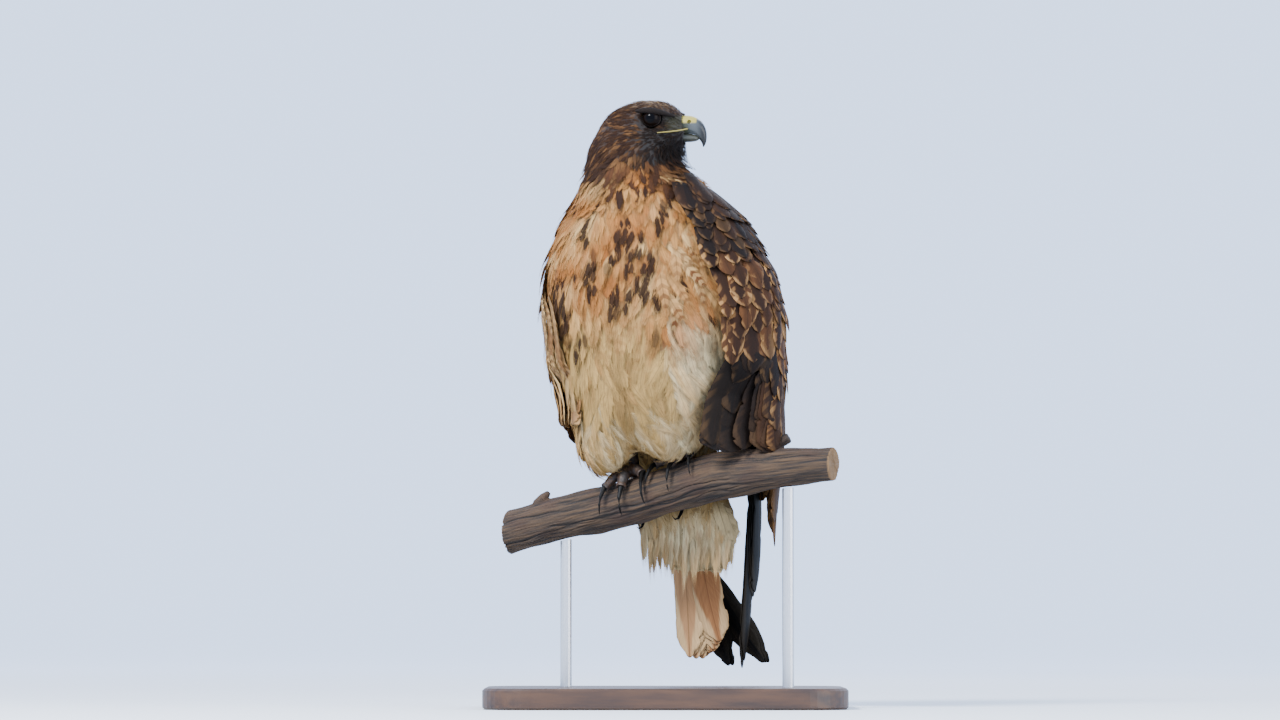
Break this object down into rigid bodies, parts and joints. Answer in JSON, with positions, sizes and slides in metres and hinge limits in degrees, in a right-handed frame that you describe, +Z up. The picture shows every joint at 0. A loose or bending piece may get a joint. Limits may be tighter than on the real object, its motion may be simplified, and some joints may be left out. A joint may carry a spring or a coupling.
{
  "type": "red-tailed hawk figure on a perch",
  "caption": "Life-size red-tailed hawk standing on a cut branch, head turned over its left shoulder, wings folded, tail hanging; plain wood base and steel rods.",
  "frame": {"origin": "middle of the underside of the stand base", "axes": "+Z up; -Y towards the picture's viewer; +X to the viewer's right"},
  "size_m": [0.31, 0.22, 0.5243],
  "materials": {
    "breast_plumage": "soft pale buff and tan feathers, matt",
    "belly_plumage": "creamy white loose feathers, matt",
    "head_plumage": "short dark brown feathers with tawny streaks, matt",
    "wing_plumage": "dark brown wing feathers with pale edges, low sheen",
    "flight_feathers": "blackish brown barred flight feathers, low sheen",
    "tail_plumage": "pale pinkish tan tail feathers with a rusty tinge, low sheen",
    "horn": "dark slate horn of the bill and talons, satin",
    "cere": "pale yellow-green skin, satin",
    "eye": "very dark brown, wet gloss",
    "toe_skin": "yellowish brown scaled skin, satin",
    "bark": "weathered grey-brown dry wood with long cracks, matt",
    "base_wood": "dark stained wood, satin",
    "rod_steel": "brushed steel, satin"
  },
  "bodies": {
    "root": {"head": "head_plumage", "neck": "head_plumage", "torso": "breast_plumage", "cere": "cere", "bill_upper": "horn", "bill_lower": "horn", "eye_left": "eye", "eye_right": "eye", "wing_left": "wing_plumage", "wing_right": "wing_plumage", "primaries_left": "flight_feathers", "primaries_right": "flight_feathers", "tail": "tail_plumage", "leg_left": "belly_plumage", "leg_right": "belly_plumage", "foot_left": "toe_skin", "foot_right": "toe_skin", "perch": "bark", "stand_base": "base_wood", "stand_rod_left": "rod_steel", "stand_rod_right": "rod_steel", "talon_left_outer": "horn", "talon_left_middle": "horn", "talon_left_inner": "horn", "talon_left_hind": "horn", "talon_right_outer": "horn", "talon_right_middle": "horn", "talon_right_inner": "horn", "talon_right_hind": "horn"}
  },
  "joints": []
}
